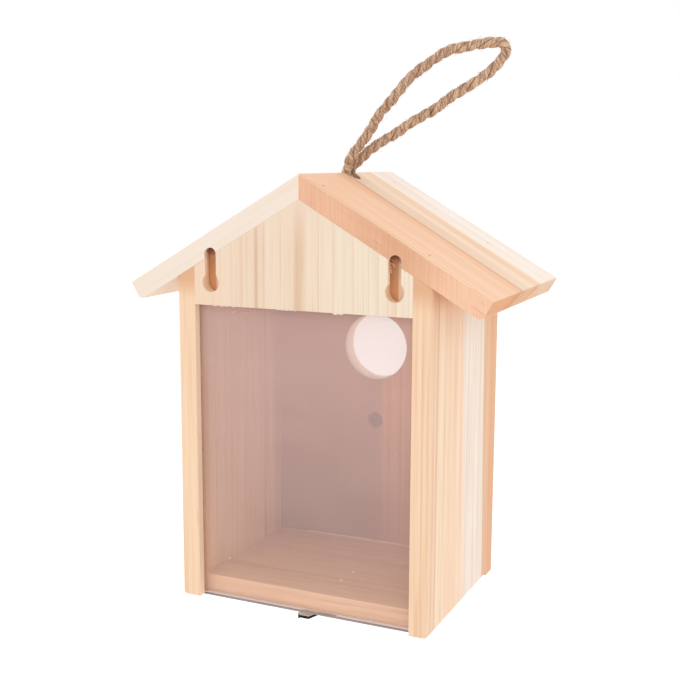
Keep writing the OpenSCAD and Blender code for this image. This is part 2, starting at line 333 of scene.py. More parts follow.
def fir(name, grain, pith, early, late, ring, slant=0.0, lines=1.0, bands=None, lean=None,
        saw=0.0, bore=None, deep=None, stain=None):
    """Fir with growth rings about a pith, which stands at pith in the pattern's first two
    axes. early and late are the colours of the two parts of a ring, ring is their
    distance, slant turns the grain out of the board's line, lines is how strongly the
    rings show, bands are stops of early colour across the board as (axis, start, end,
    stops), lean tilts them by (slope along, slope across, its zero, none, full), saw is the
    strength of upright saw marks on the face towards the window, bore is the colour of
    faces marked as bored, deep is the painted shade at the keyholes' bottoms, and the last
    argument is (full, none, colour, all round) along the grain: a colour blended in, used
    for painted shade on the sides and entrance wall, for staining with painted shade on the
    perch's inner end, and for an even tone at the gable's top. One that isn't all round is
    on the face towards the window only, and eases to the right."""
    turn, direction = GRAIN[grain]
    paint = Paint(name, Roughness=0.6, Specular_IOR_Level=0.3)
    raw = paint.coords()
    place = paint.mapping(raw, turn=turn)
    place = paint.mapping(place, turn=(slant, 0, 0))
    across, through, along = paint.parts(place)
    normal = paint.coords("Normal")
    window_side = paint.step(paint.dot(normal, (0, -1, 0)), 0.6, 0.95)

    # Slow wander of the rings, much longer along the grain than across it
    wander = paint.noise(place, 24, 2, 0.5, (1, 1, 0.12)) - 0.5
    flat = paint.mapping(place, scale=(1, 1, 0), shift=(-pith[0], -pith[1], 0))
    radius = paint.add("ShaderNodeVectorMath", {"operation": "LENGTH"}, {0: flat}, "Value")
    radius = radius + wander * 0.0045
    count = radius / ring + (paint.noise_along(radius, 75, 2) - 0.5) * 2.6
    part = count.math("FRACT")
    year = count.math("FLOOR")
    chance = paint.add("ShaderNodeTexWhiteNoise", {"noise_dimensions": "1D"}, {"W": year}, "Value")
    darkening = [(0, 0.0), (0.5, 0.05), (0.82, 0.4), (0.94, 1.0), (0.985, 0.8), (1.0, 0.0)]
    ringed = paint.ramp(part, darkening)
    strong = paint.step(chance, 0.15, 1.0, False)
    broken = paint.step(paint.noise(place, 150, 2, 0.5, (1, 1, 0.05)), 0.3, 0.62) * 0.6 + 0.4
    ringed = ringed * (strong * strong * 0.85 + 0.15) * broken * lines
    planed = 1 - window_side * 0.8 if saw else 1
    ringed = ringed * planed

    # Early wood, and fibres along the grain from fine to broad
    base = early
    if bands:
        axis, start, end, stops = bands
        coordinate = {"across": across, "through": through, "along": along}[axis]
        if lean:
            slope, tip, zero, none, full = lean
            tilt = along * slope + (across - zero) * tip
            coordinate = coordinate + paint.step(through, none, full) * tilt
        base = paint.ramp(paint.step(coordinate + wander * 0.0035, start, end, False), stops)
    fibre = paint.noise(place, 900, 2, 0.6, (1, 1, 0.016))
    streak = paint.noise(place, 430, 3, 0.6, (1, 1, 0.02))
    broad = paint.noise(place, 95, 2, 0.5, (1, 1, 0.06))
    depth = paint.step(fibre, 0.4, 0.75) * 0.18 + paint.step(streak, 0.42, 0.72) * 0.22
    depth = ringed * 0.75 + depth * planed + (broad - 0.5) * 0.22
    base = paint.mix(depth, base, late)

    # Resin ducts: thin dark dashes along the grain
    ducts = paint.step(paint.noise(place, 700, 1, 0.4, (1, 1, 0.035)), 0.74, 0.8)
    base = paint.mix(ducts * 0.3, base, "#b9794a")

    # Cut ends drink light, and rounded edges are sanded a little paler
    cut_end = paint.step(paint.dot(normal, direction).math("ABSOLUTE"), 0.55, 0.9)
    base = paint.mix(cut_end, base, "#ecd5c1", "MULTIPLY")
    base = paint.mix(paint.attribute("sanded") * 0.12, base, "#fff1df")
    height = fibre * 0.5 + ringed * 0.35 + streak * 0.25
    if saw:
        marks = paint.noise(raw, 900, 2, 0.6, (1, 0.02, 0.03))
        wide_marks = paint.noise(raw, 240, 2, 0.6, (1, 0.02, 0.04))
        grooves = paint.step(marks, 0.4, 0.7) * 0.6 + paint.step(wide_marks, 0.45, 0.75) * 0.25
        grooves = grooves * window_side
        base = paint.mix(window_side, base, "#f6edeb", "MULTIPLY")
        base = paint.mix(grooves * saw, base, late)
        height = height + grooves * 0.8
    if bore:
        drilled = paint.noise(place, 520, 2, 0.6, (1, 1, 0.08)) * 0.5 + 0.6
        if deep:
            # Painted shade in the keyholes: darker orange at the slots' bottoms, left of their
            # middles where they are seen, and a red brown painted shadow under their upper ends
            x, y, z = paint.parts(raw)
            aside = ((x + 3.4 * MM).math("ABSOLUTE") - KEYHOLE_X).math("ABSOLUTE")
            middle = (1 - paint.step(aside, 2.0 * MM, 3.0 * MM)) * paint.step(y, 6.6 * MM, 7.6 * MM)
            bore = paint.mix(middle, bore, deep)
            roof = paint.step(z, 13 * MM, 18 * MM) * paint.step(y, 0.3 * MM, 2 * MM)
            bore = paint.mix(roof * 0.85, bore, "#7d3018")
        base = paint.mix(paint.attribute("bored") * drilled, base, bore)
    # A colour blended in along the grain: painted shade on the sides and the entrance wall,
    # staining with painted shade on the perch, and an even tone at the top of the gable
    if stain:
        full, none, colour, all_round = stain
        stained = 1 - paint.step(along, full, none)
        if not all_round:
            eased = 1 - paint.step(across, -30 * MM, 25 * MM) * 0.4
            stained = stained * window_side * eased
        base = paint.mix(stained, base, colour)
    paint.feed("Base Color", base)
    paint.feed("Roughness", 0.66 - ringed * 0.12 + cut_end * 0.12)
    paint.bump(height, 0.2, 0.0004)
    return paint.material


# Meshes
def shade(bm, sharp):
    """Smooth faces with sharp edges where the surface turns more than that."""
    for face in bm.faces:
        face.smooth = True
    for edge in bm.edges:
        edge.smooth = len(edge.link_faces) == 2 and edge.calc_face_angle(0) < sharp


def outward(bm):
    """Turns the faces of closed shells outwards, and returns the mesh."""
    bmesh.ops.recalc_face_normals(bm, faces=bm.faces)
    return bm


def add_object(name, data):
    """Links a new object with that data to the scene, and returns it."""
    obj = bpy.data.objects.new(name, data)
    bpy.context.scene.collection.objects.link(obj)
    return obj


def piece(name, bm, body, material, nodes=(), sharp=math.radians(16)):
    """Makes an object of the mesh, gives it its material and body, and returns it."""
    shade(bm, sharp)
    mesh = bpy.data.meshes.new(name)
    bm.to_mesh(mesh)
    bm.free()
    obj = add_object(name, mesh)
    mesh.materials.append(material)
    if nodes:
        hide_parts(*nodes)
    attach(obj, body)
    return obj


def cad_copy(node):
    """A mesh like a CAD node's, with its doubles merged and its flat faces joined."""
    bm = bmesh.new()
    bm.from_mesh(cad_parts[node].data)
    bmesh.ops.remove_doubles(bm, verts=bm.verts, dist=1e-6)
    bmesh.ops.dissolve_limit(
        bm, angle_limit=math.radians(0.6), use_dissolve_boundaries=False, verts=bm.verts,
        edges=bm.edges, delimit={"NORMAL"},
    )
    return bm


def is_sharp(edge):
    return len(edge.link_faces) == 2 and edge.calc_face_angle(0) > math.radians(38)


def round_edges(bm, radius, wanted, segments=3, clamp=False):
    """Rounds the sharp edges for which wanted(middle, direction, length) is true, and marks
    the new faces."""
    sanded = bm.faces.layers.float.get("sanded") or bm.faces.layers.float.new("sanded")
    picked = []
    for edge in bm.edges:
        if is_sharp(edge):
            a, b = (v.co for v in edge.verts)
            if wanted((a + b) / 2, (b - a).normalized(), (b - a).length):
                picked.append(edge)
    if not picked:
        raise ValueError("no edge to round")
    made = bmesh.ops.bevel(
        bm, geom=picked, offset=radius, offset_type="OFFSET", segments=segments, profile=0.5,
        affect="EDGES", clamp_overlap=clamp, material=-1,
    )
    for face in made["faces"]:
        face[sanded] = 1


def mark_bored(bm, wanted):
    """Marks the faces of holes and rebates for which wanted(middle, normal) is true."""
    bored = bm.faces.layers.float.get("bored") or bm.faces.layers.float.new("bored")
    for face in bm.faces:
        if wanted(face.calc_center_median(), face.normal):
            face[bored] = 1


def long_edge(least, along=None):
    """A test for edges at least that long, and along an axis if one is given."""
    def wanted(middle, direction, length):
        return length > least and (along is None or abs(direction.dot(Vector(along))) > 0.99)
    return wanted


def sweep(bm, rings, sides):
    """Extrudes a unit circle from matrix to matrix, and closes both ends. Returns the
    vertices of each ring."""
    first = bmesh.ops.create_circle(bm, cap_ends=False, segments=sides, radius=1, matrix=rings[0])
    loop = first["verts"]
    edges = list({e for v in loop for e in v.link_edges})
    made = [list(loop)]
    bmesh.ops.contextual_create(bm, geom=edges)
    for before, after in zip(rings, rings[1:]):
        grown = bmesh.ops.extrude_edge_only(bm, edges=edges)["geom"]
        loop = [g for g in grown if isinstance(g, bmesh.types.BMVert)]
        fresh = set(loop)
        edges = [
            g for g in grown if isinstance(g, bmesh.types.BMEdge) and fresh.issuperset(g.verts)
        ]
        bmesh.ops.transform(bm, matrix=after @ before.inverted(), verts=loop)
        made.append(loop)
    bmesh.ops.contextual_create(bm, geom=edges)
    return made


def frames_along(points, start_side=Vector((0, 1, 0))):
    """Right-handed frames along a line of points, which don't twist about it. Each one is
    (point, side, up, heading)."""
    frames = []
    side = start_side
    for i, point in enumerate(points):
        heading = (points[min(i + 1, len(points) - 1)] - points[max(i - 1, 0)]).normalized()
        side = (side - heading * side.dot(heading)).normalized()
        frames.append((point, side.copy(), heading.cross(side), heading))
    return frames


def at(point, side, up, heading, radius):
    """Matrix of a ring of that radius at a frame."""
    turn = Matrix((side, up, heading)).transposed().to_4x4()
    return Matrix.Translation(point) @ turn @ Matrix.Diagonal((radius, radius, radius, 1))


def smooth_line(points, step):
    """Points about step apart on a smooth curve through the points."""
    line = []
    for i in range(len(points) - 1):
        p0, p1 = points[max(i - 1, 0)], points[i]
        p2, p3 = points[i + 1], points[min(i + 2, len(points) - 1)]
        count = max(2, round((p2 - p1).length / step))
        for k in range(count):
            t = k / count
            line.append(0.5 * (
                2 * p1 + (p2 - p0) * t + (2 * p0 - 5 * p1 + 4 * p2 - p3) * t * t
                + (3 * p1 - p0 - 3 * p2 + p3) * t * t * t
            ))
    return [*line, points[-1].copy()]


def strand_rings(frames, offset, radius, lay, phase):
    """Rings of one strand that winds round the line of the frames, uneven as spun jute is."""
    centres, radii, gone = [], [], 0.0
    for i, (point, side, up, heading) in enumerate(frames):
        if i:
            gone += (point - frames[i - 1][0]).length
        angle = phase - 2 * math.pi * gone / lay + 0.16 * math.sin(gone / (7 * MM) + phase)
        coarse, fine = gone / (1.9 * MM) + 5 * phase, gone / (0.8 * MM) + 9 * phase
        uneven = 0.6 * math.sin(coarse) + 0.4 * math.sin(fine)
        reach = offset * (1 + 0.07 * math.sin(gone / (3.4 * MM) + 3 * phase))
        centres.append(point + reach * (math.cos(angle) * side + math.sin(angle) * up))
        radii.append(radius * (1 + 0.07 * uneven))
    return [at(*f, r) for f, r in zip(frames_along(centres), radii)]


# Twist of the fibres in a strand of the rope, in radians a metre
FIBRE_TWIST = 900


def strand(bm, rings, sides, twist, start, core=None, reach=1.0):
    """Sweeps one strand and writes each vertex's place in the straightened strand, so that
    fibres follow it, and how deep it lies in a rope with that core and reach."""
    place = bm.verts.layers.float_vector.get("fibre") or bm.verts.layers.float_vector.new("fibre")
    depth = bm.verts.layers.float.get("depth") or bm.verts.layers.float.new("depth")
    gone = start
    for i, verts in enumerate(sweep(bm, rings, sides)):
        if i:
            gone += (rings[i].translation - rings[i - 1].translation).length
        inverse = rings[i].inverted()
        turn = Matrix.Rotation(twist * gone, 3, "Z")
        for v in verts:
            local = turn @ (inverse @ v.co)
            v[place] = (local.x, local.y, gone / MM)
            if core:
                v[depth] = 1 - (v.co - core[i]).length / reach


# Materials that several pieces share
def jute(settings):
    paint = Paint("jute", Roughness=0.85, Specular_IOR_Level=0.2)
    place = paint.attribute("fibre", "Vector")
    yarn = paint.noise(place, 1.1, 3, 0.6, (1.7, 1.7, 0.12))
    fine = paint.noise(place, 4.5, 2, 0.6, (2.2, 2.2, 0.07))
    patch = paint.noise(paint.coords(), 210, 3, 0.6)
    fleck = paint.step(paint.noise(place, 1.3, 2, 0.6, (1.5, 1.5, 0.35)), 0.64, 0.72)
    # Darker where the yarn lies low: partly the fibres' own tone, partly painted shade in the
    # hollows
    colour = paint.mix(paint.step(yarn, 0.36, 0.6), settings.shade, settings.jute)
    # Pale fibres on the raised yarn: partly the jute's tone, partly painted highlight
    colour = paint.mix(paint.step(fine, 0.45, 0.7) * 0.65, colour, "#f8e3d0")
    colour = paint.mix(paint.step(patch, 0.45, 0.72) * 0.4, colour, settings.shade)
    colour = paint.mix(fleck * 0.7, colour, "#5b3f2c")
    # Painted shade in the hollows between the strands
    groove = paint.step(paint.attribute("depth"), 0.24, 0.5)
    colour = paint.mix(groove * 0.75, colour, "#65452f")
    paint.feed("Base Color", colour)
    paint.bump(yarn * 0.8 + fine * 0.4, 0.9, 0.0007)
    return paint.material


def steel(name, dark, bare, wear, top):
    """Steel with a dark finish that is worn bare in places; top also turns the upper side pale, a
    painted highlight.
    """
    paint = Paint(name, Metallic=1.0, Roughness=0.4)
    where = paint.coords()
    cloud = paint.noise(where, 380, 4, 0.65)
    scratch = paint.noise(where, 900, 2, 0.6, (0.08, 1, 1))
    worn = cloud * 0.6 + scratch * 0.4 + paint.attribute("sanded") * 0.06
    # Painted highlight: faces turned up go pale like bare steel
    if top:
        worn = worn + paint.step(paint.dot(paint.coords("Normal"), (0, 0, 1)), 0.5, 0.95) * top
    rubbed_and_sheened = paint.step(worn, 0.6 - wear, 0.72 - wear)
    paint.feed("Base Color", paint.mix(rubbed_and_sheened, dark, bare))
    paint.feed("Metallic", 1 - rubbed_and_sheened * 0.85)
    paint.feed("Roughness", 0.5 - rubbed_and_sheened * 0.15 + cloud * 0.1)
    paint.bump(cloud * 0.5 + scratch * 0.5, 0.15, 0.0002)
    return paint.material


# Stage
# The camera was fitted to the house's corners: its place, and yaw, pitch and roll in degrees
CAMERA_PLACE = (0.26068, -0.51497, 0.06576)
CAMERA_ANGLES = (24.695, 9.221, 0.159)

# Each lamp's name, place, width and share of the key light, and where they all aim
LAMPS = [
    ("key", (-0.55, -1.05, 0.75), 0.9, 1),
    ("side", (1.3, -0.35, 0.45), 0.8, 0.38),
    ("front", (0.5, -1.2, 0.3), 0.8, 0.38),
    ("top", (0.25, 0.2, 1.4), 1.0, 0.84),
    ("back", (0.1, 0.9, 0.05), 0.6, 1.1),
]
LAMP_AIM = Vector((0, 0.05, -0.06))


def camera_turn(yaw, pitch, roll):
    """Matrix of a camera that looks along +Y, turned left by yaw, down by pitch, and rolled."""
    level, drop = math.cos(pitch), math.sin(pitch)
    heading = Vector((-math.sin(yaw) * level, math.cos(yaw) * level, -drop))
    right = Vector((math.cos(yaw), math.sin(yaw), 0))
    up = right.cross(heading)
    rolled_right = right * math.cos(roll) + up * math.sin(roll)
    rolled_up = up * math.cos(roll) - right * math.sin(roll)
    return Matrix((rolled_right, rolled_up, -heading)).transposed().to_4x4()


class BIRDHOUSE_OT_stage(Operator):
    """Makes the pale floor, the soft studio light and the camera"""

    bl_idname = "birdhouse.stage"
    bl_label = "Studio Stage"

    def execute(self, context):
        scene = context.scene
        look = scene.birdhouse_stage
        scene.view_settings.view_transform = "Standard"

        camera = bpy.data.cameras.new("camera")
        camera.lens = look.lens
        camera.sensor_width = 36
        camera.clip_start = 0.01
        scene.camera = add_object("camera", camera)
        turn = camera_turn(*(math.radians(angle) for angle in CAMERA_ANGLES))
        scene.camera.matrix_world = Matrix.Translation(CAMERA_PLACE) @ turn

        # The house hangs, so the panel has room to slide down
        bm = bmesh.new()
        lift = Matrix.Translation((0, 0, CAD_BOX[0][2] - look.drop))
        bmesh.ops.create_circle(bm, cap_ends=True, segments=96, radius=6, matrix=lift)
        mesh = bpy.data.meshes.new("floor")
        bm.to_mesh(mesh)
        bm.free()
        paint = Paint(
            "studio_paper", Roughness=0.9, Specular_IOR_Level=0.1, Emission_Strength=look.glow,
            Emission_Color=(1, 1, 1),
        )
        grain = paint.noise(paint.coords(), 60, 3)
        paint.feed("Base Color", paint.mix(grain * 0.06, look.paper, "#a4a3a1"))
        mesh.materials.append(paint.material)
        add_object("floor", mesh)

        world = bpy.data.worlds.new("studio_dome")
        world.use_nodes = True
        dome = world.node_tree.nodes["Background"].inputs
        dome["Color"].default_value = (1, 1, 1, 1)
        dome["Strength"].default_value = look.dome
        scene.world = world

        for name, place, width, share in LAMPS:
            light = bpy.data.lights.new(name, "AREA")
            light.shape = "DISK"
            light.size = width
            light.energy = look.key * share
            turn = (LAMP_AIM - Vector(place)).to_track_quat("-Z", "Y").to_matrix().to_4x4()
            add_object(name, light).matrix_world = Matrix.Translation(place) @ turn
        return {"FINISHED"}


# Rope
class BIRDHOUSE_OT_rope(Operator):
    """Makes the laid jute rope, its loose fibres and its knot under the ridge"""

    bl_idname = "birdhouse.rope"
    bl_label = "Jute Rope"

    def execute(self, context):
        look = context.scene.birdhouse_rope
        fibre = jute(look)
        middle = (ROOF_LOW.y + ROOF_HIGH.y) / 2
        radius = look.diameter / 2
        thick = radius * 0.52
        top = KNOT_HIGH.z

        def leg(x, side, z):
            return Vector((x * MM, middle + side * ROPE_LEG_Y, z))

        near, far = ROPE_ROUTE[0][0], ROPE_ROUTE[-1][0]
        route = [leg(near, -1, top), leg(near, -1, top + look.diameter)]
        route += [leg(x, share, RIDGE_Z + rise * MM) for x, share, rise in ROPE_ROUTE]
        route += [leg(far, 1, top + look.diameter), leg(far, 1, top)]
        line = smooth_line(route, 0.9 * MM)
        frames = self.kinked(frames_along(line))
        core = [f[0] for f in frames]

        bm = bmesh.new()
        for k in range(look.strands):
            phase = 2 * math.pi * k / look.strands
            rings = strand_rings(frames, radius - thick, thick, look.lay, phase)
            strand(bm, rings, 12, FIBRE_TWIST, 0.4 * k, core, radius)
        rope = piece(
            "jute_rope", outward(bm), "house", fibre, ["rope_loop"], math.radians(60)
        )

        knot = self.knot(fibre, radius, thick, look)
        hairs = self.hairs(fibre, frames, radius, look)
        length = sum((b - a).length for a, b in zip(line, line[1:]))
        return {"FINISHED"}

    @staticmethod
    def kinked(frames):
        """The frames with small kinks above the ridge, as in a stiff rope."""
        moved = []
        for i, (point, side, up, heading) in enumerate(frames):
            free = min(1, max(0, (point.z - RIDGE_Z) / (8 * MM)))
            sway = side * math.sin(i * 0.13) * 0.3 * MM + up * math.sin(i * 0.21 + 1) * 0.35 * MM
            moved.append((point + sway * free, side, up, heading))
        return moved

    def knot(self, fibre, radius, thick, look):
        """One overhand knot of both legs, drawn tight, with two cut tails."""
        tight = 0.92
        centre = (KNOT_LOW + KNOT_HIGH) / 2
        wide = (KNOT_HIGH.x - KNOT_LOW.x) / 2
        reach = (wide - radius * tight) / 3
        deep = (KNOT_HIGH.z - KNOT_LOW.z) / 2 - radius * tight
        bm = bmesh.new()

        def trefoil(angle):
            return centre + Vector((
                reach * (math.sin(angle) + 2 * math.sin(2 * angle)),
                reach * (math.cos(angle) - 2 * math.cos(2 * angle)),
                -deep * math.sin(3 * angle),
            ))

        # The turns of the knot, nearly all the way round, and then each tail's points in
        # millimetres from its middle
        runs = [[trefoil(0.35 + 2 * math.pi * i / 150 * 0.965) for i in range(151)]]
        for tail in (
            [(-4, -1, -1), (-5.5, -2.5, -6), (-6.5, -3, -11), (-7, -4, -16)],
            [(4.5, 1, -1), (5.5, 2.5, -6), (7.5, 3, -11), (9, 3.5, -15)],
        ):
            runs.append(smooth_line([centre + Vector(p) * MM for p in tail], 1.0 * MM))
        for n, run in enumerate(runs):
            frames = frames_along(run)
            for k in range(look.strands):
                phase = 2 * math.pi * k / look.strands + n
                rings = strand_rings(
                    frames, (radius - thick) * tight, thick * tight, look.lay, phase
                )
                strand(bm, rings, 10, FIBRE_TWIST, 2.0 * k, [f[0] for f in frames], radius)
        return piece(
            "jute_knot", outward(bm), "house", fibre, ["rope_knot"], math.radians(60)
        )

    def hairs(self, fibre, frames, radius, look):
        """Loose fibres that stand off the rope, thin and tapered."""
        rng = random.Random(11)
        bm = bmesh.new()
        shown = [f for f in frames if f[0].z > RIDGE_Z + 1 * MM]
        for _ in range(look.hairs):
            point, side, up, heading = shown[rng.randrange(len(shown))]
            angle = rng.uniform(0, 2 * math.pi)
            away = math.cos(angle) * side + math.sin(angle) * up
            round_it = heading.cross(away)
            long = rng.uniform(1.2, 3.4) * MM if rng.random() < 0.96 else rng.uniform(3.5, 6.5) * MM
            lift = rng.uniform(0.02, 0.5)
            lean = heading * rng.choice((-1, 1)) + round_it * rng.uniform(-0.9, 0.9)
            curl = Vector([rng.uniform(-1, 1) for _ in range(3)]) * 0.5
            run, place = [], point + away * radius * 0.8
            for i in range(5):
                run.append(place.copy())
                step = (lean + away * (lift + 0.25) + curl * i * 0.35).normalized()
                place += step * long / 4
            thin = rng.uniform(0.05, 0.1) * MM
            tips = [1, 0.95, 0.8, 0.6, 0.25]
            rings = [at(*f, thin * tip) for f, tip in zip(frames_along(run, away), tips)]
            strand(bm, rings, 3, 0, rng.uniform(0, 60))
        return piece(
            "jute_hairs", outward(bm), "house", fibre, (), math.radians(90)
        )


# Boards
def on_outer_side(middle):
    return abs(middle.x) > SIDE_HIGH.x - CLOSE


def outline_of_side(middle, direction, length):
    return length > 8 * MM and on_outer_side(middle) and middle.y < SIDE_HIGH.y - 0.5 * MM


def foot_of_side(middle, direction, length):
    return length > LONG and on_outer_side(middle) and middle.z < FLOOR_LOW.z + CLOSE


def rebate_of_side(middle, normal):
    """The strip of a side board's inner face in front of the panel, and its groove."""
    inner = abs(normal.x) > 0.9 and middle.x * normal.x < 0
    return inner and middle.y < PANEL_HIGH.y + 0.3 * MM


def outline_of_gable(middle, direction, length):
    on_a_face = middle.y < CLOSE or middle.y > GABLE_HIGH.y - CLOSE
    return length > LONG and middle.z < GABLE_LOW.z + CLOSE and on_a_face


def from_entrance(middle):
    """Distance from the middle line of the entrance hole."""
    return math.hypot(middle.x - ENTRANCE_X, middle.z - ENTRANCE_Z)


def bore_of_entrance(middle, normal):
    return from_entrance(middle) < ENTRANCE_RADIUS + 1 * MM and abs(normal.y) < 0.5


def rim_of_entrance(middle, direction, length):
    on_rim = abs(from_entrance(middle) - ENTRANCE_RADIUS) < 0.12 * MM
    return on_rim and abs(direction.y) < 0.1


def near_keyhole(middle):
    return 47 * MM < abs(middle.x) < 61 * MM and -6 * MM < middle.z < 20 * MM


def inside_keyhole(middle, normal):
    return near_keyhole(middle) and 0.2 * MM < middle.y < 8.2 * MM


def rim_of_keyhole(middle, direction, length):
    return near_keyhole(middle) and middle.y < CLOSE and length < 16 * MM


def lower_eave(middle, direction, length):
    return abs(direction.y) > 0.99 and length > LONG and middle.z < ROOF_LOW.z + CLOSE


def front_underside(middle, direction, length):
    """The lower front edge, which meets the gable board."""
    line = APEX_Z - abs(middle.x) * math.tan(PITCH)
    return length > LONG and middle.y < CLOSE and abs(middle.z - line) < 0.5 * MM


def outline_of_roof(middle, direction, length):
    under_ridge = abs(middle.x) < 0.2 * MM
    soft = front_underside(middle, direction, length)
    return length > 9 * MM and not under_ridge and not soft and middle.z > ROOF_LOW.z + 3 * MM


def board(node, bm, slot, *cut, **finish):
    """Puts a board in its CAD node's place. cut and finish are those of its fir."""
    name = node.removesuffix("_board") + "_fir"
    piece(name, bm, "house", fir(name, *cut, **finish), [node])


class BIRDHOUSE_OT_boards(Operator):
    """Rounds the seven boards and gives each its own cut of fir"""

    bl_idname = "birdhouse.boards"
    bl_label = "Fir Boards"

    def execute(self, context):
        look = context.scene.birdhouse_boards
        for make in (
            self.sides, self.gable, self.wall, self.floor, self.left_roof, self.right_roof,
        ):
            make(look)
        return {"FINISHED"}

    def sides(self, look):
        """Side boards: peach all through on the left; on the right with a band of pale
        sapwood and a darker far end. Both are painted with shade just under the eaves."""
        left_stops = [
            (0.0, "#eacbac"), (0.04, "#eaccb0"), (0.07, "#f0d2b6"), (0.076, "#fdcb94"),
            (0.115, "#ffd6a4"), (0.17, "#ffe0be"), (0.5, "#fedfbd"), (0.88, "#fde1c4"),
            (0.96, "#e8c6aa"),
        ]
        right_stops = [
            (0.0, "#eacbac"), (0.03, "#e7c6a9"), (0.08, "#e9ccb1"), (0.093, "#d6a683"),
            (0.103, "#eed7bd"), (0.28, "#edd0b4"), (0.46, "#efd3ba"), (0.484, "#efd7c1"),
            (0.496, "#e9ded2"), (0.7, "#ebe0d4"), (0.845, "#e8daca"), (0.855, "#d0a886"),
            (0.867, "#e1b695"), (1.0, "#dfb390"),
        ]
        for node, pith, stops, lean in (
            ("left_side_board", (-0.118, 0.12), left_stops, None),
            (
                "right_side_board", (0.118, -0.085), right_stops,
                (0.0446, 0, 0, 20 * MM, 45 * MM),
            ),
        ):
            bm = cad_copy(node)
            mark_bored(bm, rebate_of_side)
            round_edges(bm, look.worn_edge, foot_of_side)
            round_edges(bm, look.soft_edge, outline_of_side)
            board(
                node, bm, "side_wood", "up", pith, look.peach, look.line, look.ring, slant=0.004,
                lines=0.9, bands=("through", 0.0, SIDE_HIGH.y, stops), lean=lean, bore=look.cut,
                # Painted shade under the eaves, darker towards the tops
                stain=(3 * MM, -12 * MM, "#d6a783", True),
            )

    def gable(self, look):
        """Gable board: pale, with fine upright lines."""
        bm = cad_copy("gable_board")
        mark_bored(bm, inside_keyhole)
        round_edges(bm, look.crisp_edge * 0.6, outline_of_gable)
        round_edges(bm, look.rim * 0.6, rim_of_keyhole, 2)
        stops = [
            (0.0, "#e5cab0"), (0.15, "#e3cdb7"), (0.215, "#e1cab2"), (0.227, "#dbbfa5"),
            (0.238, "#e2cdb6"), (0.29, "#e0c8b2"), (0.301, "#cda88d"), (0.313, "#e0c9b3"),
            (0.33, "#e2cdb8"), (0.337, "#d9bca2"), (0.345, "#e3cfba"), (0.47, "#e1cbb4"),
            (0.488, "#d3b397"), (0.512, "#d9bda2"), (0.53, "#e2cfb8"), (0.58, "#e3d1bc"),
            (0.586, "#dac0a5"), (0.594, "#e4d3be"), (0.84, "#e5d6c1"), (0.85, "#dec8ae"),
            (0.86, "#e6d7c3"), (0.888, "#e5d5c0"), (0.894, "#ddc5ab"), (0.902, "#e6d7c3"),
            (0.93, "#e0cab0"), (0.94, "#e6d7c3"),
        ]
        board(
            "gable_board", bm, "gable_wood", "up", (-0.12, -0.07), look.straw, "#d0a88a",
            look.ring * 0.85, lines=0.5, bands=("across", GABLE_LOW.x, GABLE_HIGH.x, stops),
            # An even tone blended in towards the top of the gable
            bore=look.cut, deep=look.deep, stain=(APEX_Z + 12 * MM, 14 * MM, "#e2ccb6", True),
        )

    def wall(self, look):
        """Entrance wall: warm heartwood, darker on the left, with a pale bore; the bore is painted
        paler still as light from behind, and the inner face carries painted shade towards its lower
        left.
        """
        bm = cad_copy("entrance_wall")
        mark_bored(bm, bore_of_entrance)
        round_edges(bm, look.crisp_edge, long_edge(LONG))
        round_edges(bm, look.rim * 1.4, rim_of_entrance)
        # Darker mauve brown on the left: partly the wood's tone, partly painted shade of the box's
        # inner left corner
        stops = [
            (0.0, "#bd967c"), (0.07, "#b38e76"), (0.17, "#b48e73"), (0.3, "#b78f71"),
            (0.43, "#bd9373"), (0.473, "#b28c74"), (0.513, "#b58d72"), (0.533, "#c49675"),
            (0.56, "#f8b381"), (0.575, "#e39d70"), (0.59, "#ffb683"), (0.613, "#ffba86"),
            (0.622, "#ea9f6e"), (0.632, "#ffbe8a"), (0.66, "#ffc28e"), (0.68, "#e6b48f"),
            (0.92, "#dcaa86"), (0.94, "#dcab86"),
        ]
        board(
            "entrance_wall", bm, "wall_wood", "up", (-0.05, 0.19), look.heart, "#ca8556",
            look.ring * 1.15, lines=0.9, bands=("across", WALL_LOW.x, WALL_HIGH.x, stops),
            # Pale drilled wood in the bore, painted paler still as light from behind; painted shade
            # darkening the inner face towards its lower left
            bore="#fff2e4", stain=(-155 * MM, -60 * MM, "#957b70", False),
        )

    def floor(self, look):
        """Floor board, with its grain from side to side."""
        bm = cad_copy("floor_board")
        round_edges(bm, look.crisp_edge, long_edge(LONG, (1, 0, 0)))
        board(
            "floor_board", bm, "floor_wood", "across", (0.155, 0.03), "#f2caa2", look.line,
            look.ring * 1.6, slant=0.02, lines=0.45,
        )

    def left_roof(self, look):
        """Left roof board: nearly all sapwood."""
        stops = [
            (0.0, "#e5d6c8"), (0.3, "#e8d6c4"), (0.6, "#e7cdb4"), (1.0, "#e9d5be"),
        ]
        self.roof_board(
            "left_roof_board", look, stops, "left slope", (0.09, -0.12), look.sapwood, "#e0c7ab",
            look.ring * 1.3, lines=0.3,
        )

